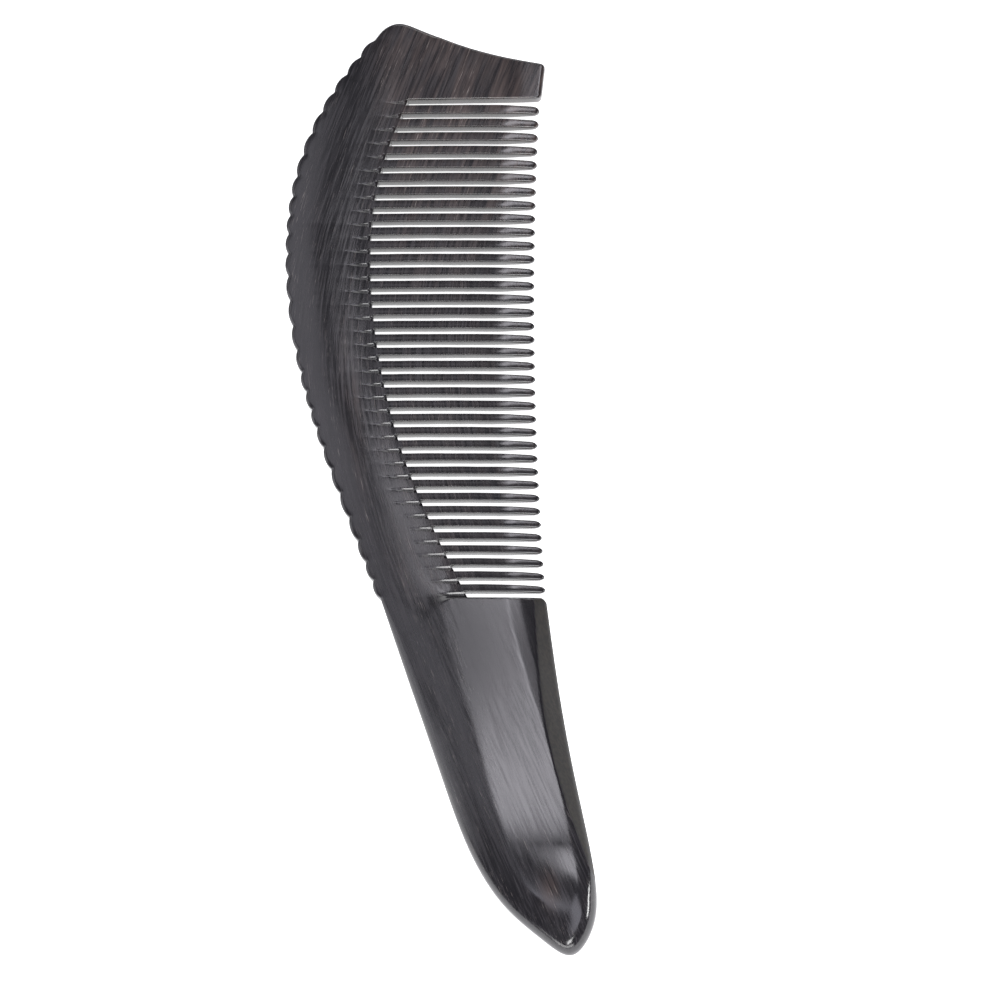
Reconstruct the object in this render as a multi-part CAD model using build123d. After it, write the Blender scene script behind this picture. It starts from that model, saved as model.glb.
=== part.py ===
"""A comb sawn and filed from the solid tip of one black horn.

Millimetres. The comb lies on its flat rear face: +Z is up through its thickness, +Y runs along
it from the tip of the handle to the head, and +X runs from the scalloped back to the points of
the teeth. The origin is under the middle of its box.

The real comb is one piece, with nothing joined to it and nothing that moves. Its regions are
written as separate solids that meet face to face, so that every saw gap stays open: the back,
the end guard, the handle and each tooth.
"""
from build123d import *
from math import pi, sin
import os

# --- Driving dimensions ---------------------------------------------------------------------
SPINE_THICKNESS = 4.4        # the back, between its flat front and its flat rear face
BLADE_THICKNESS = 3.0        # the teeth and the end guard, apart from their bevels
POINT_THICKNESS = 0.8        # a tooth at its point
GUARD_THICKNESS = 2.4        # the end guard at its free edge
GRIP_THICKNESS = 8.6         # the handle at its thickest

TOOTH_COUNT = 37
TOOTH_PITCH = 2.604          # on average
PITCH_DRIFT = 0.0032         # the saw was stepped by hand, in longer steps near the head
SAW_GAP = 1.15               # the width of the saw that cut the gaps
POINT_LENGTH = 2.6           # the end of a tooth that narrows to its point
TOOTH_BEVEL = 6.0            # the end of a tooth that thins towards it
GUARD_BEVEL = 5.0            # the same for the end guard
SHOULDER_Y = -23.0           # the top of the handle, beside the last gap

SCALLOP_COUNT = 27
SCALLOP_HEIGHT = 0.62        # how far each scallop stands out from the notches beside it
SCALLOP_WANDER = 0.16        # they are cut by eye, and their width wanders by up to this share
WANDER_PERIOD = 8.8          # in scallops
WANDER_START = 10.8

SCOOP_ACROSS = 42.0          # the radii of the thumb scoop in the front of the handle
SCOOP_ALONG = 300.0
SCOOP_DEPTH = 0.9
SCOOP_MIDDLE = (11.4, -43.0, 6.75)
SCOOP_LEAN = 14.0            # degrees that it leans from the line of the comb
SCOOP_CLIMB = -5.6           # degrees that the front of the handle climbs there
FRONT_ROUND = 2.4            # the rounded edges of the handle
REAR_ROUND = 1.6
CORNER_ROUND = 1.0

# --- Lines of the plan view -----------------------------------------------------------------
# Through the notches of the back, from the head to the handle.
NOTCH_LINE = [(-12.7, 86.6), (-21.05, 75.0), (-27.4, 59.0), (-28.9, 43.0), (-26.45, 22.5),
              (-19.3, -0.8), (-10.9, SHOULDER_Y)]
# Along the roots of the saw gaps, from the top edge to the handle.
ROOT_LINE = [(-0.6, 87.3), (-6.3, 74.0), (-11.8, 58.0), (-13.25, 42.0), (-11.4, 23.0),
             (-6.6, 4.0), (5.4, SHOULDER_Y)]
# Over the head, from the first notch to the corner of the guard.
APEX = (-8.2, 90.0)
APEX_TANGENTS = [(0.75, 1.0), (1.0, -0.45)]
TOP_HOLLOW = (8.0, 84.1)
HEAD_CORNER = (20.3, 81.4)
GUARD_CORNER_X = 19.5
# Round the handle, from its shoulder past its tip to the last notch.
HANDLE_LINE = [(20.1, SHOULDER_Y), (22.7, -42.0), (26.0, -60.0), (28.7, -73.4), (29.4, -79.5),
               (28.4, -85.6), (24.6, -90.0), (19.8, -87.6), (12.5, -81.2), (5.8, -70.5),
               (0.9, -57.5), (-5.4, -39.2), NOTCH_LINE[-1]]
# The points of the teeth lie along a shallow hollow.
HOLLOW_X = 18.1
HOLLOW_Y = 33.0
HOLLOW_RISE = 1.65           # how much further out a point is, at HOLLOW_REACH from its middle
HOLLOW_REACH = 50.0

# --- Lines of the side and end views ----------------------------------------------------------
# The front of the handle: how far along the comb, and how high.
HANDLE_FRONT = [(SHOULDER_Y, SPINE_THICKNESS), (-45.0, 6.9), (-66.0, GRIP_THICKNESS),
                (-80.0, 8.0), (-92.0, 5.8)]
# Its rear lifts from the flat towards the tip.
HANDLE_REAR = [(-92.0, 1.7), (-82.0, 0.45), (-72.0, 0.0)]
# Where the back has thinned to the blade, near the roots of the gaps: across, and along the comb.
BLADE_LINE = [(-3.9, 91.0), (-14.7, 50.0), (-12.9, 20.0), (3.9, SHOULDER_Y - 1)]
THINNING_WIDTH = 10.0        # how far before that line the back starts to thin

# --- Worked out from them --------------------------------------------------------------------
MID_Z = SPINE_THICKNESS / 2
GUARD_Y = SHOULDER_Y + SAW_GAP + TOOTH_COUNT * TOOTH_PITCH
FAR = 120.0                  # beyond every edge of the comb

os.makedirs("parts", exist_ok=True)


def save(solid, node):
    """Writes one node, after a check that it is a single sound solid."""
    assert len(solid.solids()) == 1 and solid.is_valid, node
    piece = solid.solids()[0]
    piece.label = node
    export_step(piece, f"parts/{node}.step")


def slab(plan):
    """A plan, as a slab that reaches below and above the comb."""
    return extrude(Pos(0, 0, -GRIP_THICKNESS) * plan, 3 * GRIP_THICKNESS)


def section(stations):
    """An end view of the comb, from its thickness at some places across it."""
    front = [(x, MID_Z + thickness / 2) for x, thickness in stations]
    rear = [(x, MID_Z - thickness / 2) for x, thickness in reversed(stations)]
    return Plane.XZ * make_face(Polyline(*front, *rear, close=True))


def thinned():
    """The back, which thins towards the roots of the gaps."""
    sections = []
    for blade_x, y in BLADE_LINE:
        stations = [(-FAR, SPINE_THICKNESS), (blade_x - THINNING_WIDTH, SPINE_THICKNESS),
                    (blade_x, BLADE_THICKNESS), (FAR, BLADE_THICKNESS)]
        sections.append(Pos(0, y, 0) * section(stations))
    return loft(sections, ruled=True)


def beveled(end_x, bevel, end_thickness):
    """The blade, which thins again from both faces towards its free end."""
    stations = [(-FAR, BLADE_THICKNESS), (end_x - bevel, BLADE_THICKNESS), (end_x, end_thickness)]
    return extrude(Pos(0, FAR, 0) * section(stations), 2 * FAR)


def scallop_marks():
    """How far along the notch line each notch lies, from 0 at the head to 1 at the handle."""
    widths = []
    for number in range(SCALLOP_COUNT):
        growth = min(1.0, number / WANDER_PERIOD)
        wander = growth * sin(2 * pi * (number - WANDER_START) / WANDER_PERIOD)
        widths.append(1 + SCALLOP_WANDER * wander)
    return [sum(widths[:number]) / sum(widths) for number in range(SCALLOP_COUNT + 1)]


def scalloped_edge():
    """A row of shallow arcs that stand out from the notch line."""
    line = Spline(*NOTCH_LINE)
    marks = scallop_marks()
    arcs = []
    for start, end in zip(marks, marks[1:]):
        middle = (start + end) / 2
        outward = (line % middle).rotate(Axis.Z, -90)
        crest = line @ middle + outward * SCALLOP_HEIGHT
        arcs.append(ThreePointArc(line @ start, crest, line @ end))
    return arcs


def tooth_room():
    """All the room on the tooth side of the root line."""
    root = Spline(*ROOT_LINE)
    head = root @ 0
    edges = Polyline(root @ 1, (FAR, SHOULDER_Y), (FAR, FAR), (head.X, FAR), head)
    return slab(make_face([root, edges]))


def make_back():
    """The thick strip that carries the teeth, with its row of scallops."""
    head = Spline(NOTCH_LINE[0], APEX, ROOT_LINE[0], tangents=APEX_TANGENTS)
    foot = Line(NOTCH_LINE[-1], ROOT_LINE[-1])
    plan = make_face([*scalloped_edge(), head, Spline(*ROOT_LINE), foot])
    return slab(plan) & thinned()


def make_guard():
    """The broad tooth that closes the head end of the row."""
    top = ThreePointArc(ROOT_LINE[0], TOP_HOLLOW, HEAD_CORNER)
    sides = Polyline(HEAD_CORNER, (GUARD_CORNER_X, GUARD_Y), (-FAR, GUARD_Y), ROOT_LINE[0])
    plan = make_face([top, sides])
    plan = fillet(plan.vertices().sort_by(Axis.X)[-2:], CORNER_ROUND)
    return slab(plan) & tooth_room() & beveled(HEAD_CORNER[0], GUARD_BEVEL, GUARD_THICKNESS)


def gap_y(number):
    """The middle of a saw gap. Gap 0 is beside the guard."""
    drift = PITCH_DRIFT * number * (TOOTH_COUNT - number)
    return GUARD_Y - SAW_GAP / 2 - TOOTH_PITCH * number - drift


def make_tooth(number, room):
    """One tooth, from the root line to its rounded point."""
    high = gap_y(number) - SAW_GAP / 2
    low = gap_y(number + 1) + SAW_GAP / 2
    middle = (high + low) / 2
    point_x = HOLLOW_X + HOLLOW_RISE * ((middle - HOLLOW_Y) / HOLLOW_REACH) ** 2
    neck = (point_x - POINT_LENGTH, middle)
    point = EllipticalCenterArc(neck, POINT_LENGTH, (high - low) / 2, -90, arc_size=180)
    shank = Polyline(point @ 1, (-FAR, high), (-FAR, low), point @ 0)
    plan = make_face([point, shank])
    return slab(plan) & room & beveled(point_x, TOOTH_BEVEL, POINT_THICKNESS)


def make_handle():
    """The grip, with rounded edges, a blunt tip and a thumb scoop in its front."""
    plan = make_face([Spline(*HANDLE_LINE), Line(HANDLE_LINE[-1], HANDLE_LINE[0])])
    front = Spline(*HANDLE_FRONT)
    rear = ThreePointArc(*HANDLE_REAR)
    heel = Polyline(rear @ 1, (SHOULDER_Y, 0), front @ 0)
    side = make_face([front, Line(front @ 1, rear @ 0), rear, heel])
    grip = slab(plan) & extrude(Plane.YZ.offset(-FAR) * side, 2 * FAR)
    front_rim = grip.faces().sort_by(Axis.Z)[-1].edges().sort_by(SortBy.LENGTH)[-1]
    grip = fillet(front_rim, FRONT_ROUND)
    low_edges = grip.edges().filter_by(lambda edge: edge.center().Z < REAR_ROUND)
    grip = fillet(low_edges.filter_by(GeomType.BSPLINE), REAR_ROUND)
    upright = grip.edges().filter_by(Axis.Z).sort_by(Axis.X)[-1]
    return fillet(upright, CORNER_ROUND) - thumb_scoop()


def thumb_scoop():
    """A shallow dish, as the outside of a large ring that leans and climbs with the handle."""
    ring = Rotation(0, 90, 0) * Torus(SCOOP_ALONG - SCOOP_ACROSS, SCOOP_ACROSS)
    lift = Pos(0, 0, SCOOP_ALONG - SCOOP_DEPTH)
    return Pos(*SCOOP_MIDDLE) * Rotation(SCOOP_CLIMB, 0, 0) * Rotation(0, 0, SCOOP_LEAN) * lift * ring


def main():
    save(make_back(), "back")
    save(make_guard(), "head_guard")
    save(make_handle(), "handle")
    room = tooth_room()
    for number in range(TOOTH_COUNT):
        save(make_tooth(number, room), f"tooth_{number + 1:02}")


main()
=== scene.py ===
from math import cos, pi, radians, sin

import bmesh
import bpy
import numpy as np
from mathutils import Matrix, Vector, kdtree, noise


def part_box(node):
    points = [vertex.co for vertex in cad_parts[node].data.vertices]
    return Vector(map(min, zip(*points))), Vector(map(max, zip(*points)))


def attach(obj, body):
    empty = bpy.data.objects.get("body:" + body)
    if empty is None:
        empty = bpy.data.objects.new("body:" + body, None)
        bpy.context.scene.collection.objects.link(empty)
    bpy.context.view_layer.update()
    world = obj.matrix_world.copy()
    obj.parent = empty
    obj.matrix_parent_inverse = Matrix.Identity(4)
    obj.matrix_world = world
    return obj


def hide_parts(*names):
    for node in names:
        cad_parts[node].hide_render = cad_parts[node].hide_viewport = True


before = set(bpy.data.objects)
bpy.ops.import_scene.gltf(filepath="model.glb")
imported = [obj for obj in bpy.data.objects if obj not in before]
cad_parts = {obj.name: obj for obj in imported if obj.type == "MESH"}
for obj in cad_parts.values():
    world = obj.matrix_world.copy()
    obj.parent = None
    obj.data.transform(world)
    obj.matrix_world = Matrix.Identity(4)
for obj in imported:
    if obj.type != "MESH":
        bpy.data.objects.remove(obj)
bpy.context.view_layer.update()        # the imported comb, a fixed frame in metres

MM = 0.001

# --- Lines of the plan, which follow the CAD part ----------------------------------------------
NOTCH_LINE = [(-12.7, 86.6), (-21.05, 75.0), (-27.4, 59.0), (-28.9, 43.0), (-26.45, 22.5),
              (-19.3, -0.8), (-10.9, -23.0)]
ROOT_LINE = [(-0.6, 87.3), (-6.3, 74.0), (-11.8, 58.0), (-13.25, 42.0), (-11.4, 23.0),
             (-6.6, 4.0), (5.4, -23.0)]
HEAD_LINE = [ROOT_LINE[0], (-4.5, 89.0), (-8.2, 90.0), (-10.8, 88.9), NOTCH_LINE[0]]
TOP_LINE = [(20.3, 81.4), (14.0, 82.55), (8.0, 84.1), (3.4, 85.65), ROOT_LINE[0]]
HANDLE_LINE = [(20.1, -23.0), (22.7, -42.0), (26.0, -60.0), (28.7, -73.4), (29.4, -79.5),
               (28.4, -85.6), (24.6, -90.0), (19.8, -87.6), (12.5, -81.2), (5.8, -70.5),
               (0.9, -57.5), (-5.4, -39.2), NOTCH_LINE[-1]]
GUARD_CORNER_X = 19.5
CORNER_ROUND = 1.0

SCALLOP_COUNT = 27
SCALLOP_HEIGHT = 0.62
SCALLOP_WANDER = 0.16
WANDER_PERIOD = 8.8
WANDER_START = 10.8

# --- Heights -------------------------------------------------------------------------------
# They follow the CAD part, except where a comment says that the CAD has it otherwise.
SPINE_THICKNESS = 4.4
MID_Z = SPINE_THICKNESS / 2
BLADE_THICKNESS = 3.0
HEAD_EXTRA = 0.4              # how much thicker the blade is beside the head (not in the CAD)
HEAD_EXTRA_RISE = (35.0, 80.0)    # where along the comb that starts and is complete
POINT_THICKNESS = 1.1         # 0.8 in the CAD
CROWN_FALL = 0.3              # how far the front of the back falls to its scallops (flat in the CAD)
CROWN_WIDTH = 9.0
GUARD_THICKNESS = 2.4
TOOTH_BEVEL = 6.0             # the end of a tooth that thins towards its point
GUARD_BEVEL = 5.0
TOOTH_DROOP = 0.35            # how far a point bends towards the handle (straight in the CAD)
TOOTH_NOSE = 1.6              # the end of a tooth that narrows to its point (2.6 in the CAD)
TOOTH_BLUNT = 0.6             # the end of a tooth whose thickness is rounded off
BLUNTNESS = 2.4               # 2 rounds a point as an ellipse does, and more makes it blunter
POINT_INSET = 0.004           # keeps each point inside its CAD box
BLADE_LINE = [(-3.9, 91.0), (-14.7, 50.0), (-12.9, 20.0), (3.9, -24.0)]
THINNING_WIDTH = 10.0         # how far before that line the back starts to thin
# The front of the handle along its ridge: how far along the comb, and how high.
HANDLE_FRONT = [(-23.0, 4.4), (-45.0, 6.9), (-66.0, 8.6), (-80.0, 8.0), (-92.0, 5.8)]
TIP_LIFT = 1.5                # how far the rear of the handle rises at its tip
TIP_LIFT_START = -72.0
TIP_LIFT_LENGTH = 18.0
LEAST_WALL = 0.3              # what the rounded edges leave between the front and the rear

# --- The flats of the handle's front, from its ridge to its right side: how far across the comb
# each starts, and how much steeper it is than the one before it. The CAD has a thumb scoop instead.
RIDGE_LINE = [(0.3, -21.0), (0.6, -25.0), (5.3, -44.4), (10.9, -63.6), (22.0, -92.0)]
BAND_LINE = [(12.4, -21.0), (13.1, -25.0), (18.3, -44.4), (23.6, -63.6), (28.0, -92.0)]
CHAMFER_LINE = [(17.6, -21.0), (17.9, -25.0), (19.6, -44.4), (24.2, -63.6), (29.6, -78.0)]
FACET_TILT = 0.10
BAND_TILT = 0.08
STRIP_TILT = 0.06
STRIP_OFFSET = 2.6
CHAMFER_TILT = (0.22, 0.5)    # beside the shoulder, and from CHAMFER_FULL_Y down
CHAMFER_FULL_Y = -38.0

# --- The saw's marks -----------------------------------------------------------------------
STOP_LENGTH = 0.5             # how far past its root a saw gap still is deep
STOP_DEPTH = 0.45
RUNOUT_LENGTH = (4.4, 6.0)    # the thin groove beyond that, beside the head and the handle
RUNOUT_WIDTH = (0.42, 0.55)
RUNOUT_DEPTH = (0.19, 0.27)


# --- Curves ----------------------------------------------------------------------------------
def spline(points, spacing=0.05):
    """Evenly spaced points along the smooth curve through some points."""
    points = np.array(points, float)
    steps = np.linalg.norm(np.diff(points, axis=0), axis=1)
    knots = np.concatenate([[0.0], np.cumsum(steps)])
    count = len(points)
    matrix = np.eye(count)
    target = np.zeros_like(points)
    for i in range(1, count - 1):
        matrix[i, i - 1:i + 2] = steps[i - 1], 2 * (steps[i - 1] + steps[i]), steps[i]
        before = (points[i] - points[i - 1]) / steps[i - 1]
        after = (points[i + 1] - points[i]) / steps[i]
        target[i] = 6 * (after - before)
    bend = np.linalg.solve(matrix, target)
    place = np.linspace(0, knots[-1], max(4, int(knots[-1] / spacing)))
    i = np.clip(np.searchsorted(knots, place, side="right") - 1, 0, count - 2)
    b = ((place - knots[i]) / steps[i])[:, None]
    a = 1 - b
    curve = (a**3 - a) * bend[i] + (b**3 - b) * bend[i + 1]
    return a * points[i] + b * points[i + 1] + curve * (steps[i]**2)[:, None] / 6


def line(start, end, spacing=0.05):
    """Evenly spaced points along a straight line."""
    start, end = np.array(start, float), np.array(end, float)
    count = max(2, int(np.linalg.norm(end - start) / spacing))
    return start + (end - start) * np.linspace(0, 1, count)[:, None]


def along(curve, fraction):
    """The point of a curve at a fraction of its length."""
    steps = np.linalg.norm(np.diff(curve, axis=0), axis=1)
    travelled = np.concatenate([[0.0], np.cumsum(steps)])
    place = np.array(fraction) * travelled[-1]
    return np.stack([np.interp(place, travelled, curve[:, axis]) for axis in (0, 1)], axis=-1)


def arc(start, crest, end, count=80):
    """A circular arc from start to end, whose crest is above the middle of its chord."""
    middle = (start + end) / 2
    half = np.linalg.norm(end - start) / 2
    rise = np.linalg.norm(crest - middle)
    radius = (half**2 + rise**2) / (2 * rise)
    up = (crest - middle) / rise
    across = (end - start) / (2 * half)
    reach = np.arctan2(half, radius - rise)
    turn = np.linspace(-reach, reach, count)[:, None]
    centre = crest - up * radius
    return centre + radius * (np.sin(turn) * across + np.cos(turn) * up)


def round_corner(first, second, size):
    """Two curves that meet at a corner, joined by a small rounding."""
    start = first[np.linalg.norm(first - first[-1], axis=1) > size]
    end = second[np.linalg.norm(second - second[0], axis=1) > size]
    corner = first[-1]
    t = np.linspace(0, 1, 40)[1:-1, None]
    bend = (1 - t)**2 * start[-1] + 2 * t * (1 - t) * corner + t**2 * end[0]
    return np.concatenate([start, bend[:19]]), np.concatenate([bend[19:], end])


def smooth_step(value):
    """0 below 0, 1 above 1, and a smooth rise between."""
    value = np.clip(value, 0, 1)
    return value * value * (3 - 2 * value)


def soft_ramp(value, softness):
    """0 on one side and the value on the other, with a rounded knee."""
    return (value + np.sqrt(value**2 + softness**2)) / 2


# --- The saw gaps and teeth, from the frame --------------------------------------------------
def box_mm(node):
    """The lowest and highest corner of a CAD node, in millimetres."""
    low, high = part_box(node)
    return np.array(low) / MM, np.array(high) / MM


TEETH = sorted(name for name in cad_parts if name.startswith("tooth"))
TOOTH_BOXES = [box_mm(name) for name in TEETH]
GUARD_Y = box_mm("head_guard")[0][1]
SHOULDER_Y = box_mm("handle")[1][1]
GAP_TOPS = np.array([GUARD_Y] + [low[1] for low, high in TOOTH_BOXES])
GAP_BOTTOMS = np.array([high[1] for low, high in TOOTH_BOXES] + [SHOULDER_Y])
GAP_MIDDLES = (GAP_TOPS + GAP_BOTTOMS) / 2
SAW_WIDTH = float(np.mean(GAP_TOPS - GAP_BOTTOMS))


# --- The rim: the outline of the comb, apart from its row of teeth -----------------------------
def scalloped_edge():
    """The row of shallow arcs along the back, from the head to the handle."""
    notches = spline(NOTCH_LINE)
    widths = []
    for number in range(SCALLOP_COUNT):
        growth = min(1.0, number / WANDER_PERIOD)
        wander = growth * sin(2 * pi * (number - WANDER_START) / WANDER_PERIOD)
        widths.append(1 + SCALLOP_WANDER * wander)
    marks = np.concatenate([[0.0], np.cumsum(widths)]) / sum(widths)
    arcs = []
    for start, end in zip(marks, marks[1:]):
        first, last = along(notches, start), along(notches, end)
        chord = (last - first) / np.linalg.norm(last - first)
        outward = np.array([chord[1], -chord[0]])
        crest = (first + last) / 2 + outward * SCALLOP_HEIGHT
        arcs.append(arc(first, crest, last)[:-1])
    return np.concatenate(arcs)


root_line = spline(ROOT_LINE)
guard_root_x = float(np.interp(GUARD_Y, root_line[::-1, 1], root_line[::-1, 0]))
guard_edge = line((guard_root_x, GUARD_Y), (GUARD_CORNER_X, GUARD_Y))
guard_side = line((GUARD_CORNER_X, GUARD_Y), TOP_LINE[0])
top_edge = spline(TOP_LINE)
guard_edge, guard_side = round_corner(guard_edge, guard_side, CORNER_ROUND)
guard_side, top_edge = round_corner(guard_side, top_edge, CORNER_ROUND)
head_edge = spline(HEAD_LINE)
scallops = scalloped_edge()
handle_edge = spline(HANDLE_LINE)[::-1]
shoulder = line(HANDLE_LINE[0], ROOT_LINE[-1])
handle_edge, shoulder = round_corner(handle_edge, shoulder, CORNER_ROUND)
tip_index = int(np.argmin(handle_edge[:, 1]))
handle_left = handle_edge[:tip_index + 1]
handle_right = handle_edge[tip_index:]
apex_index = int(np.argmax(head_edge[:, 1]))

# How the surface falls towards each stretch of the rim. At each height along the comb:
# the edge's radius in front and at the rear, and the width and depth of a gentle roll.
RIM = [
    (guard_edge, [(0, 0.28, 0.28, 1.0, 0.0)]),
    (guard_side, [(0, 0.75, 0.6, 1.5, 0.0)]),
    (top_edge, [(0, 0.5, 0.5, 2.0, 0.0)]),
    (head_edge, [(0, 0.7, 0.6, 3.0, 0.1)]),
    (scallops, [(-23, 0.6, 0.9, 1.8, 0.14), (86, 0.5, 0.8, 1.8, 0.10)]),
    (handle_left, [(-90, 2.0, 1.5, 5.0, 0.9), (-76, 1.8, 1.6, 6.5, 1.6),
                   (-50, 1.6, 1.6, 9.0, 1.9), (-30, 1.3, 1.2, 8.0, 0.9),
                   (-23, 0.6, 0.9, 1.8, 0.14)]),
    (handle_right, [(-90, 2.4, 1.5, 5.0, 0.9), (-80, 2.8, 1.4, 4.5, 0.8),
                    (-72, 0.9, 1.2, 3.0, 0.1), (-55, 0.6, 1.0, 1.0, 0.0),
                    (-23, 0.5, 0.6, 1.0, 0.0)]),
    (shoulder, [(0, 0.3, 0.3, 1.0, 0.0)]),
]
RIM_SMOOTHING = 41            # in points of the rim


def rim_arrays():
    """The rim as one row of points, with the four sizes of its profile at each."""
    points, sizes = [], []
    for curve, profile in RIM:
        profile = np.array(profile, float)
        columns = [np.interp(curve[:, 1], profile[:, 0], profile[:, k]) for k in range(1, 5)]
        points.append(curve)
        sizes.append(np.stack(columns, axis=1))
    points, sizes = np.concatenate(points), np.concatenate(sizes)
    window = np.ones(RIM_SMOOTHING) / RIM_SMOOTHING
    padded = np.pad(sizes, ((RIM_SMOOTHING // 2,) * 2, (0, 0)), mode="edge")
    smooth = [np.convolve(padded[:, k], window, mode="valid") for k in range(4)]
    return points, np.stack(smooth, axis=1)


rim_points, rim_sizes = rim_arrays()
rim_tree = kdtree.KDTree(len(rim_points))
for rim_index, (rim_x, rim_y) in enumerate(rim_points):
    rim_tree.insert((rim_x, rim_y, 0), rim_index)
rim_tree.balance()


def segment_distance(x, y, start, end):
    """How far points are from the straight segments between two rows of points."""
    step = end - start
    length = np.maximum((step**2).sum(axis=1), 1e-12)
    t = np.clip(((x - start[:, 0]) * step[:, 0] + (y - start[:, 1]) * step[:, 1]) / length, 0, 1)
    return np.hypot(x - start[:, 0] - t * step[:, 0], y - start[:, 1] - t * step[:, 1])


def rim_distance(x, y):
    """How far points are from the rim, and the profile of the rim where it is nearest."""
    nearest = np.array([rim_tree.find((a, b, 0))[1] for a, b in zip(x, y)])
    last = len(rim_points) - 1
    here = rim_points[nearest]
    before = segment_distance(x, y, rim_points[np.maximum(nearest - 1, 0)], here)
    after = segment_distance(x, y, here, rim_points[np.minimum(nearest + 1, last)])
    return np.minimum(before, after), rim_sizes[nearest]


# --- The front and rear surfaces -----------------------------------------------------------------
def x_at(curve, heights):
    """Where a curve that never turns back crosses each height."""
    order = np.argsort(curve[:, 1], kind="stable")
    return np.interp(heights, curve[order, 1], curve[order, 0])


handle_profile = spline(HANDLE_FRONT)
notch_line, ridge_line, band_line, chamfer_line = (
    spline(points) for points in (NOTCH_LINE, RIDGE_LINE, BAND_LINE, CHAMFER_LINE))


def blade_thickness(y):
    """How thick the teeth are, before their bevel: a little more beside the head."""
    start, end = HEAD_EXTRA_RISE
    return BLADE_THICKNESS + HEAD_EXTRA * smooth_step((y - start) / (end - start))


def half_thickness(x, y):
    """Half the thickness of the back and of the guard. The back thins towards the gaps."""
    blade_x = np.interp(y, *np.array(BLADE_LINE[::-1]).T[::-1])
    slope = (SPINE_THICKNESS - blade_thickness(y)) / THINNING_WIDTH
    thinned = soft_ramp(x - blade_x + THINNING_WIDTH, 2.5) - soft_ramp(x - blade_x, 1.2)
    bevel = (BLADE_THICKNESS - GUARD_THICKNESS) / GUARD_BEVEL
    bevel = bevel * soft_ramp(x - TOP_LINE[0][0] + GUARD_BEVEL, 0.8) * (x > 0)
    return (SPINE_THICKNESS - slope * thinned - bevel) / 2


def tooth_half(to_point, y):
    """Half the thickness of a tooth, at a distance from its point."""
    slope = (BLADE_THICKNESS - POINT_THICKNESS) / TOOTH_BEVEL
    return (blade_thickness(y) - slope * soft_ramp(TOOTH_BEVEL - to_point, 1.6)) / 2


def crown(x, y):
    """How far the front of the back falls away towards its scalloped edge."""
    inward = x - x_at(notch_line, y)
    return CROWN_FALL * np.clip(1 - inward / CROWN_WIDTH, 0, 1)**2


def handle_front(x, y):
    """The front of the handle: its ridge, and the flats that fall away from it to the right."""
    height = np.interp(y, handle_profile[::-1, 0], handle_profile[::-1, 1])
    fade = smooth_step((y + 84.0) / 14.0)
    height = height - fade * FACET_TILT * soft_ramp(x - x_at(ridge_line, y), 0.7)
    band = x - x_at(band_line, y)
    height = height - fade * BAND_TILT * soft_ramp(band, 0.15)
    height = height - fade * STRIP_TILT * soft_ramp(band - STRIP_OFFSET, 0.25)
    chamfer = x - x_at(chamfer_line, y)
    steepness = np.interp(y, (CHAMFER_FULL_Y, SHOULDER_Y), CHAMFER_TILT[::-1])
    return height - steepness * smooth_step((y + 80.0) / 12.0) * soft_ramp(chamfer, 0.12)


def handle_share(x, y):
    """1 on the handle and 0 on the blade. The change is gradual on the left and a step beside
    the last gap."""
    width = 0.5 + 17.0 * (1 - smooth_step((x + 7.0) / 10.0))
    return smooth_step((SHOULDER_Y + 0.5 * width - y) / width)


def by_gap(sizes, share):
    """A size that changes from the gap beside the head to the gap beside the handle."""
    return sizes[0] + (sizes[1] - sizes[0]) * share


def runouts(x, y):
    """How deep the saw's marks are: past its root each gap stops short, and a thin groove runs
    on into the back, ever more shallowly."""
    number = np.abs(y[:, None] - GAP_MIDDLES[None, :]).argmin(axis=1)
    root_x = x_at(root_line, GAP_MIDDLES)[number]
    share = (number / (len(GAP_MIDDLES) - 1))**2
    wander = np.array([noise.noise((1.7 * n, 0.3, 0.9)) for n in range(len(GAP_MIDDLES))])[number]
    inward = np.clip(root_x - x, 0, None)
    off = np.abs(y - GAP_MIDDLES[number])
    stop = STOP_DEPTH * np.clip(1 - inward / STOP_LENGTH, 0, 1)
    stop = stop * smooth_step((SAW_WIDTH / 2 - off) / 0.12)
    run = inward / (by_gap(RUNOUT_LENGTH, share) * (1 + 0.35 * wander))
    width = by_gap(RUNOUT_WIDTH, share) * (0.35 + 0.65 * np.clip(1 - run, 0, 1))
    groove = by_gap(RUNOUT_DEPTH, share) * smooth_step(1.6 * (1 - run))
    groove = groove * smooth_step((width - off) / width) * width / by_gap(RUNOUT_WIDTH, share)
    faint = 0.012 * np.clip(1 - run / 2.6, 0, 1) * np.exp(-(off / 0.5)**2)
    return np.where(x < root_x + 0.01, np.maximum(stop, groove) + faint, 0)


def surfaces(x, y):
    """The front and rear heights at each point, and how matt the horn is there."""
    distance, sizes = rim_distance(x, y)
    front_edge, rear_edge, roll, fall = sizes.T
    share = handle_share(x, y)
    half = half_thickness(x, y)
    front = (1 - share) * (MID_Z + half - crown(x, y)) + share * handle_front(x, y)
    rear = (1 - share) * (MID_Z - half)
    rear = rear + TIP_LIFT * (np.clip(TIP_LIFT_START - y, 0, None) / TIP_LIFT_LENGTH)**2
    front = front - fall * np.clip(1 - distance / roll, 0, 1)**2
    front = front - edge_drop(distance, front_edge) - runouts(x, y)
    rear = rear + edge_drop(distance, rear_edge) + 0.5 * runouts(x, y)
    matt = smooth_step((x - x_at(chamfer_line, y)) / 0.3 + 0.3) * smooth_step((y + 79.0) / 4.0)
    rear = np.minimum(rear, front - LEAST_WALL)
    return front, rear, matt * (y < SHOULDER_Y + 0.01)


def edge_drop(distance, radius):
    """How far a rounded edge falls below the surface that it bounds."""
    inset = radius - np.minimum(distance, radius)
    return radius - np.sqrt(radius**2 - inset**2)


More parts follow.
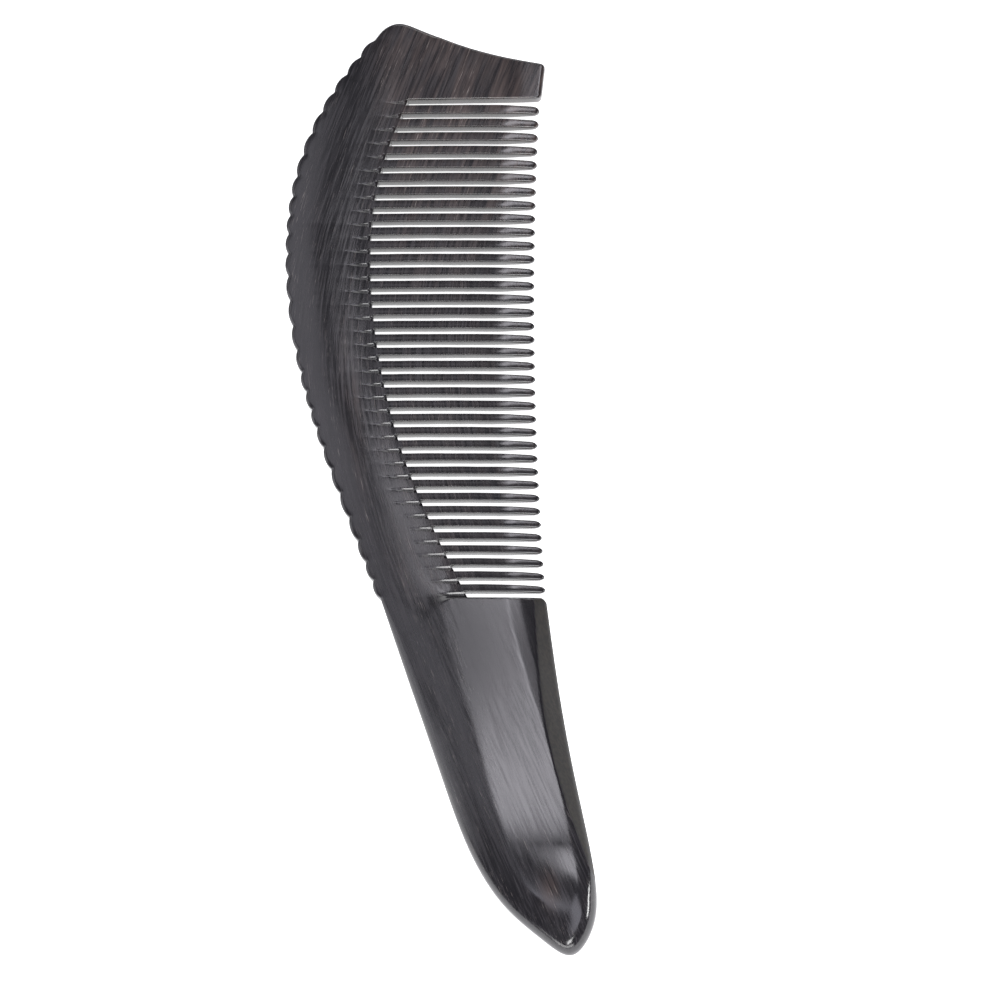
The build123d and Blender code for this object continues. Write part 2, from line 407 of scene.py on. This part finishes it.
# --- Meshes --------------------------------------------------------------------------------------
def graded(count, start_free, end_free, edge_steps=13):
    """Fractions from 0 to 1, closer together towards an end that is free."""
    steps = np.ones(count)
    fine = (np.arange(edge_steps) + 0.5) / edge_steps
    if start_free:
        steps[:edge_steps] = fine
    if end_free:
        steps[-edge_steps:] = fine[::-1]
    places = np.concatenate([[0.0], np.cumsum(steps)])
    return places / places[-1]


def grain_of(points):
    """Where each point lies in the horn: across its grain, along it and through its thickness.
    The grain follows the bend of the comb."""
    x, y, z = points.T
    bend = 0.45 * np.sqrt((y - 25.0)**2 + 35.0**2)
    return np.stack([x - bend, y + 0.3 * x, z], axis=1)


def brown_of(points):
    """How brown the horn is: most in the head and the teeth beside it."""
    x, y, z = points.T
    head = 0.75 * smooth_step((y - 30.0) / 45.0) * smooth_step((x + 17.0) / 14.0)
    streak = 0.55 * np.exp(-((x + 17.5 + 0.10 * (y - 25)) / 1.6)**2 - ((y - 14.0) / 13.0)**2)
    spot = 0.9 * np.exp(-((x - 21.0) / 1.9)**2 - ((y + 78.0) / 3.2)**2)
    teeth = 0.2 * smooth_step((x + 14.0) / 8.0) * smooth_step((y + 26.0) / 8.0)
    return np.clip(head + streak + spot + teeth, 0, 1)


def worn_of(points):
    """How strongly the grain stands out: hardly at all where the thumb lies and at the points."""
    x, y, z = points.T
    flat = smooth_step((x - x_at(ridge_line, y) - 0.5) / 4.0) * smooth_step((SHOULDER_Y - y) / 0.1)
    points_share = smooth_step((x - 5.0) / 4.0) * (y > SHOULDER_Y)
    return (1 - 0.85 * flat * smooth_step((y + 64.0) / 2.0)) * (1 - 0.9 * points_share)


def piece(name, points, faces, matt, material, node):
    """A skin for one CAD node, as a mesh of the finished horn."""
    mesh = bpy.data.meshes.new(name)
    mesh.from_pydata((points * MM).tolist(), [], faces)
    for label, values in (("matt", matt), ("brown", brown_of(points)), ("worn", worn_of(points))):
        layer = mesh.attributes.new(label, "FLOAT", "POINT")
        layer.data.foreach_set("value", np.ascontiguousarray(values, dtype=np.float32))
    layer = mesh.attributes.new("grain", "FLOAT_VECTOR", "POINT")
    layer.data.foreach_set("vector", np.ascontiguousarray(grain_of(points), dtype=np.float32).ravel())
    tidy = bmesh.new()
    tidy.from_mesh(mesh)
    bmesh.ops.remove_doubles(tidy, verts=tidy.verts, dist=0.0004 * MM)
    bmesh.ops.recalc_face_normals(tidy, faces=tidy.faces)
    tidy.to_mesh(mesh)
    tidy.free()
    mesh.shade_smooth()
    mesh.set_sharp_from_angle(angle=radians(38))
    mesh.materials.append(material)
    made = bpy.data.objects.new(name, mesh)
    bpy.context.scene.collection.objects.link(made)
    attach(made, "root")
    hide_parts(node)
    return made


def rows_piece(node, heights, left_x, right_x, fractions, material):
    """A skin laid out in rows across the comb: a front, a rear and the wall between them."""
    rows, columns = len(heights), len(fractions)
    x = (left_x[:, None] + (right_x - left_x)[:, None] * fractions[None, :]).ravel()
    y = np.repeat(heights, columns)
    front, rear, matt = surfaces(x, y)
    points = np.concatenate([np.stack([x, y, front], axis=1), np.stack([x, y, rear], axis=1)])
    size = rows * columns
    faces = []
    for row in range(rows - 1):
        for column in range(columns - 1):
            a = row * columns + column
            quad = (a, a + 1, a + 1 + columns, a + columns)
            faces.append(quad)
            faces.append(tuple(size + corner for corner in reversed(quad)))
    rim = list(range(columns))
    rim += [row * columns + columns - 1 for row in range(1, rows)]
    rim += [(rows - 1) * columns + column for column in range(columns - 2, -1, -1)]
    rim += [row * columns for row in range(rows - 2, 0, -1)]
    for a, b in zip(rim, rim[1:] + rim[:1]):
        faces.append((b, a, size + a, size + b))
    matt = np.maximum(matt, front_satin(x, y))
    return piece(f"{node}_horn", points, faces, np.concatenate([matt, matt]), material, node)


def back_rows():
    """Heights of the rows of the back: aligned with each saw gap, and finer over the head."""
    in_gap = np.array([0.0, 0.1, 0.2, 0.3, 0.4, 0.5, 0.6, 0.7, 0.8, 0.9])
    heights = []
    for number in reversed(range(len(GAP_TOPS))):
        low, high = GAP_BOTTOMS[number], GAP_TOPS[number]
        heights.extend(low + (high - low) * in_gap)
        if number:
            heights.extend(np.linspace(high, GAP_BOTTOMS[number - 1], 6)[:-1])
    apex_y = head_edge[apex_index, 1]
    heights.extend(GUARD_Y + (apex_y - GUARD_Y) * graded(90, False, True, 30))
    return np.array(heights)


def make_back(material):
    """The strip that carries the teeth, with its scalloped edge."""
    heights = back_rows()
    left = np.concatenate([head_edge[apex_index:], scallops, handle_left[:1]])
    right = np.concatenate([root_line[::-1], head_edge[:apex_index + 1]])
    columns = graded(72, True, False)
    return rows_piece("back", heights, x_at(left, heights), x_at(right, heights), columns, material)


def make_guard(material):
    """The broad tooth that closes the head end of the row."""
    heights = GUARD_Y + (ROOT_LINE[0][1] - GUARD_Y) * graded(110, True, False, 8)
    right = np.concatenate([guard_edge[-19:], guard_side, top_edge])
    columns = graded(110, False, True)
    return rows_piece("head_guard", heights, x_at(root_line, heights), x_at(right, heights),
                      columns, material)


def make_handle(material):
    """The grip, from the shoulder beside the last gap to its blunt tip."""
    tip_y = handle_edge[tip_index, 1]
    heights = SHOULDER_Y + (tip_y - SHOULDER_Y) * graded(330, True, True, 30)
    right = np.concatenate([handle_right, shoulder[:30]])
    columns = graded(120, True, True)
    return rows_piece("handle", heights, x_at(handle_left, heights), x_at(right, heights),
                      columns, material)


def front_satin(x, y):
    """The head, the teeth and the left of the handle were left with a satin finish."""
    head = smooth_step((y - 40.0) / 35.0) * smooth_step((x + 19.0) / 10.0)
    head = head * (1 - smooth_step((x - 9.0) / 5.0))
    left = smooth_step((5.0 - y) / 30.0) * (1 - smooth_step((x - x_at(ridge_line, y) + 1.0) / 2.5))
    return 0.12 * head + 0.30 * left * smooth_step((y + 86.0) / 16.0)


def make_tooth(node, low, high, material):
    """One tooth: a rounded bar that tapers to a bullet point."""
    corner_steps, stations = 5, 64
    middle, half_width = (low[1] + high[1]) / 2, (high[1] - low[1]) / 2
    tip_x = high[0]
    turn = np.linspace(0, pi / 2, corner_steps)
    # Unit corners of the section: front right, front left, rear left, rear right.
    corners = [(1, 1, turn), (-1, 1, turn[::-1]), (-1, -1, turn), (1, -1, turn[::-1])]
    rings = []
    for station in range(stations):
        share = sin(pi / 2 * station / (stations - 1)) ** 1.15
        reach = share * (tip_x - POINT_INSET - low[0])
        to_point = tip_x - low[0] - reach
        nose = np.clip(1 - to_point / TOOTH_NOSE, 0, 1)
        blunt = np.clip(1 - to_point / TOOTH_BLUNT, 0, 1)
        width = half_width * (1 - nose**BLUNTNESS)**0.5
        radius = min(0.13 + 0.22 * float(smooth_step(1.3 - to_point / 6.0)), 0.98 * width)
        ring = []
        for side, face, angles in corners:
            for angle in angles:
                y = middle + side * (width - radius + radius * cos(angle))
                ring.append((side, face, y, radius * (1 - sin(angle))))
        ys = np.array([entry[2] for entry in ring])
        root = x_at(root_line, ys)
        x = root + (tip_x - POINT_INSET - root) * share
        wobble = 0.04 * smooth_step(share * 6) * np.array(
            [noise.noise((a * 0.22, middle * 3.1, 5.0 * entry[0])) for a, entry in zip(x, ring)])
        half = tooth_half(tip_x - x, ys) * (1 - blunt**BLUNTNESS)**0.5
        inset = np.minimum(np.array([entry[3] for entry in ring]), half)
        face = np.array([entry[1] for entry in ring])
        bend = wobble - TOOTH_DROOP * share**2
        rings.append(np.stack([x, ys + bend, MID_Z + face * (half - inset)], axis=1))
    around = len(rings[0])
    points = np.concatenate(rings)
    faces = [tuple(range(around)), tuple(reversed(range(len(points) - around, len(points))))]
    for station in range(stations - 1):
        for k in range(around):
            a = station * around + k
            b = station * around + (k + 1) % around
            faces.append((a, b, b + around, a + around))
    matt = front_satin(points[:, 0], points[:, 1]) + 0.06
    matt = matt * (1 - smooth_step((points[:, 0] - tip_x + TOOTH_BEVEL + 2.0) / 3.0))
    return piece(f"{node}_horn", points, faces, matt, material, node)


# --- Materials -------------------------------------------------------------------------------------
class Nodes:
    """A short way to add shader nodes and link them."""

    def __init__(self, material):
        material.use_nodes = True
        self.tree = material.node_tree
        self.tree.nodes.clear()

    def add(self, kind, settings=None, **inputs):
        node = self.tree.nodes.new(kind)
        for label, value in (settings or {}).items():
            setattr(node, label, value)
        for label, value in inputs.items():
            self.feed(node, label.replace("_", " "), value)
        return node

    def feed(self, node, label, value):
        socket = node.inputs[int(label)] if label.isdigit() else node.inputs[label]
        if isinstance(value, bpy.types.NodeSocket):
            self.tree.links.new(value, socket)
        else:
            socket.default_value = value

    def math(self, operation, first, second, third=0.0):
        node = self.tree.nodes.new("ShaderNodeMath")
        node.operation = operation
        self.feed(node, "0", first)
        self.feed(node, "1", second)
        self.feed(node, "2", third)
        return node.outputs[0]

    def ramp(self, value, low, high, to_low=0.0, to_high=1.0):
        """Maps a value smoothly from one range to another."""
        node = self.add("ShaderNodeMapRange", {"interpolation_type": "SMOOTHSTEP"}, Value=value)
        for label, number in zip(("From Min", "From Max", "To Min", "To Max"),
                                 (low, high, to_low, to_high)):
            node.inputs[label].default_value = number
        return node.outputs["Result"]

    def mix(self, share, first, second):
        """A blend of two colours."""
        node = self.tree.nodes.new("ShaderNodeMix")
        node.data_type = "RGBA"
        self.feed(node, "0", share)
        self.feed(node, "6", first)
        self.feed(node, "7", second)
        return node.outputs[2]

    def attribute(self, label):
        node = self.add("ShaderNodeAttribute", {"attribute_name": label})
        return node.outputs["Vector" if label == "grain" else "Fac"]

    def streaks(self, grain, across, lengthwise, through, detail=4.0):
        """Noise drawn out along the grain. The sizes are waves per millimetre."""
        scaled = self.add("ShaderNodeVectorMath", {"operation": "MULTIPLY"})
        self.feed(scaled, "0", grain)
        scaled.inputs[1].default_value = (across, lengthwise, through)
        node = self.add("ShaderNodeTexNoise", Vector=scaled.outputs[0], Scale=1.0, Detail=detail,
                        Roughness=0.6)
        return node.outputs["Fac"]


def horn_material():
    """Polished black horn, with grey and brown streaks along its grain, a few pale hairs, and a
    matt, pitted finish where it was left rough."""
    material = bpy.data.materials.new("polished_horn_looks")
    nodes = Nodes(material)
    grain, matt, brown = (nodes.attribute(label) for label in ("grain", "matt", "brown"))
    fine = nodes.streaks(grain, 2.6, 0.10, 1.2)
    broad = nodes.streaks(grain, 0.5, 0.06, 0.25)
    hairs = nodes.streaks(grain, 7.0, 0.30, 3.0, detail=2.0)
    pits = nodes.streaks(grain, 2.6, 1.7, 2.6, detail=3.0)

    black = (0.007, 0.0065, 0.008, 1)
    grey = (0.024, 0.022, 0.025, 1)
    umber = (0.062, 0.045, 0.041, 1)
    pale = (0.20, 0.175, 0.165, 1)
    worn = nodes.attribute("worn")
    colour = nodes.mix(nodes.math("MULTIPLY", nodes.ramp(fine, 0.36, 0.74), worn), black, grey)
    streaky = nodes.math("MULTIPLY", nodes.ramp(broad, 0.36, 0.66, 0.15, 1.0), brown)
    streaky = nodes.math("MULTIPLY", streaky, nodes.ramp(fine, 0.30, 0.62, 0.25, 1.0))
    colour = nodes.mix(streaky, colour, umber)
    bright = nodes.math("MULTIPLY", nodes.ramp(hairs, 0.60, 0.74), nodes.ramp(broad, 0.40, 0.62))
    bright = nodes.math("MULTIPLY", bright, nodes.math("MULTIPLY_ADD", brown, 0.5, 0.5))
    bright = nodes.math("MULTIPLY", bright, worn)
    colour = nodes.mix(bright, colour, pale)
    olive = nodes.mix(nodes.ramp(pits, 0.42, 0.60), (0.007, 0.006, 0.005, 1),
                      (0.016, 0.013, 0.010, 1))
    rough_share = nodes.ramp(matt, 0.45, 0.95)
    colour = nodes.mix(rough_share, colour, olive)

    roughness = nodes.ramp(fine, 0.3, 0.75, 0.11, 0.22)
    roughness = nodes.math("ADD", roughness, nodes.math("MULTIPLY", matt, 0.42))
    relief = nodes.math("ADD", nodes.math("MULTIPLY", fine, 0.35), nodes.math("MULTIPLY", hairs, 0.12))
    relief = nodes.math("MULTIPLY", relief, worn)
    relief = nodes.math("ADD", relief, nodes.math("MULTIPLY", nodes.math("MULTIPLY", pits, matt), 2.4))
    bump = nodes.add("ShaderNodeBump", Height=relief, Strength=0.5, Distance=0.012 * MM)

    shader = nodes.add("ShaderNodeBsdfPrincipled", Base_Color=colour, Roughness=roughness,
                       Normal=bump.outputs["Normal"], IOR=1.55)
    output = nodes.add("ShaderNodeOutputMaterial")
    nodes.tree.links.new(shader.outputs["BSDF"], output.inputs["Surface"])
    material.diffuse_color = (0.045, 0.042, 0.046, 1)
    return material


def floor_material():
    """A pale board lit from within, like a light table."""
    material = bpy.data.materials.new("pale_floor")
    nodes = Nodes(material)
    paper = nodes.add("ShaderNodeTexNoise", Scale=220.0, Detail=3.0)
    tone = nodes.mix(nodes.ramp(paper.outputs["Fac"], 0.3, 0.7), (0.86, 0.86, 0.87, 1),
                     (0.90, 0.90, 0.905, 1))
    shader = nodes.add("ShaderNodeBsdfPrincipled", Base_Color=tone, Roughness=0.8)
    shader.inputs["Emission Color"].default_value = (1.0, 1.0, 1.0, 1)
    shader.inputs["Emission Strength"].default_value = 1.0
    output = nodes.add("ShaderNodeOutputMaterial")
    nodes.tree.links.new(shader.outputs["BSDF"], output.inputs["Surface"])
    return material


# --- The stage -------------------------------------------------------------------------------------
def make_floor():
    """A flat, pale floor just below the comb. In metres."""
    size, cells, height = 3.0, 24, -0.0002
    ticks = np.linspace(-size / 2, size / 2, cells + 1)
    points = [(x, y, height) for y in ticks for x in ticks]
    faces = []
    for row in range(cells):
        for column in range(cells):
            a = row * (cells + 1) + column
            faces.append((a, a + 1, a + cells + 2, a + cells + 1))
    mesh = bpy.data.meshes.new("floor")
    mesh.from_pydata(points, [], faces)
    mesh.materials.append(floor_material())
    floor = bpy.data.objects.new("floor", mesh)
    bpy.context.scene.collection.objects.link(floor)


def softbox(name, place, aim, size, radiance, colour=(1.0, 1.0, 1.0)):
    """A flat lamp of a given brightness. Places and sizes are in millimetres."""
    lamp = bpy.data.lights.new(name, "AREA")
    lamp.shape = "RECTANGLE"
    lamp.size, lamp.size_y = size[0] * MM, size[1] * MM
    lamp.energy = radiance * pi * lamp.size * lamp.size_y
    lamp.color = colour
    made = bpy.data.objects.new(name, lamp)
    bpy.context.scene.collection.objects.link(made)
    place, aim = Vector(place) * MM, Vector(aim) * MM
    turn = (aim - place).to_track_quat("-Z", "Y").to_matrix().to_4x4()
    made.matrix_world = Matrix.Translation(place) @ turn


def make_lights():
    """Softboxes placed for what each part of the comb mirrors, and a dim grey room."""
    centre = (5, 0, 0)
    softbox("facet_softbox", (245, 420, 1200), centre, (200, 450), 6.8, (0.95, 0.93, 1.0))
    softbox("back_fill", (-330, 300, 1200), centre, (430, 400), 1.35, (0.93, 0.91, 1.0))
    softbox("rim_fill", (-900, 250, 900), centre, (900, 500), 1.8, (0.95, 0.94, 1.0))
    softbox("left_fill", (-1200, -100, 350), centre, (500, 900), 2.0, (0.96, 0.95, 1.0))
    softbox("bulb_fill", (250, -320, 1200), centre, (310, 600), 2.9, (0.90, 0.89, 1.0))
    softbox("head_strip", (200, 1300, 1000), centre, (900, 700), 3.0)
    softbox("foot_strip", (200, -1250, 1100), centre, (900, 600), 13.0)
    softbox("low_strip", (0, -950, 200), centre, (1200, 260), 5.0)
    softbox("bulb_strip", (820, -150, 240), (28, -80, 5), (340, 110), 22.0)
    world = bpy.data.worlds.new("studio")
    world.use_nodes = True
    background = world.node_tree.nodes["Background"]
    background.inputs["Color"].default_value = (0.50, 0.50, 0.56, 1)
    background.inputs["Strength"].default_value = 0.4
    bpy.context.scene.world = world


def make_camera():
    """The view from above and a little towards the handle."""
    target = Vector((10.567, -3.230, 2.5))
    offset = Vector((33.557, -168.466, 758.974))
    across_view = 186.33         # the width of the view at the target
    data = bpy.data.cameras.new("camera")
    data.sensor_width = 36.0
    data.lens = data.sensor_width * offset.length / across_view
    camera = bpy.data.objects.new("camera", data)
    forward = -offset.normalized()
    right = forward.cross(Vector((0, 1, 0))).normalized()
    up = right.cross(forward)
    turn = Matrix((right, up, -forward)).transposed().to_4x4()
    camera.matrix_world = Matrix.Translation((target + offset) * MM) @ turn
    bpy.context.scene.collection.objects.link(camera)
    bpy.context.scene.camera = camera


def main():
    """The whole scene, in the order in which it is built."""
    make_camera()
    make_lights()
    make_floor()
    horn = horn_material()
    make_back(horn)
    make_guard(horn)
    make_handle(horn)
    for node, (low, high) in zip(TEETH, TOOTH_BOXES):
        make_tooth(node, low, high, horn)
    bpy.context.scene.view_settings.view_transform = "Standard"


main()
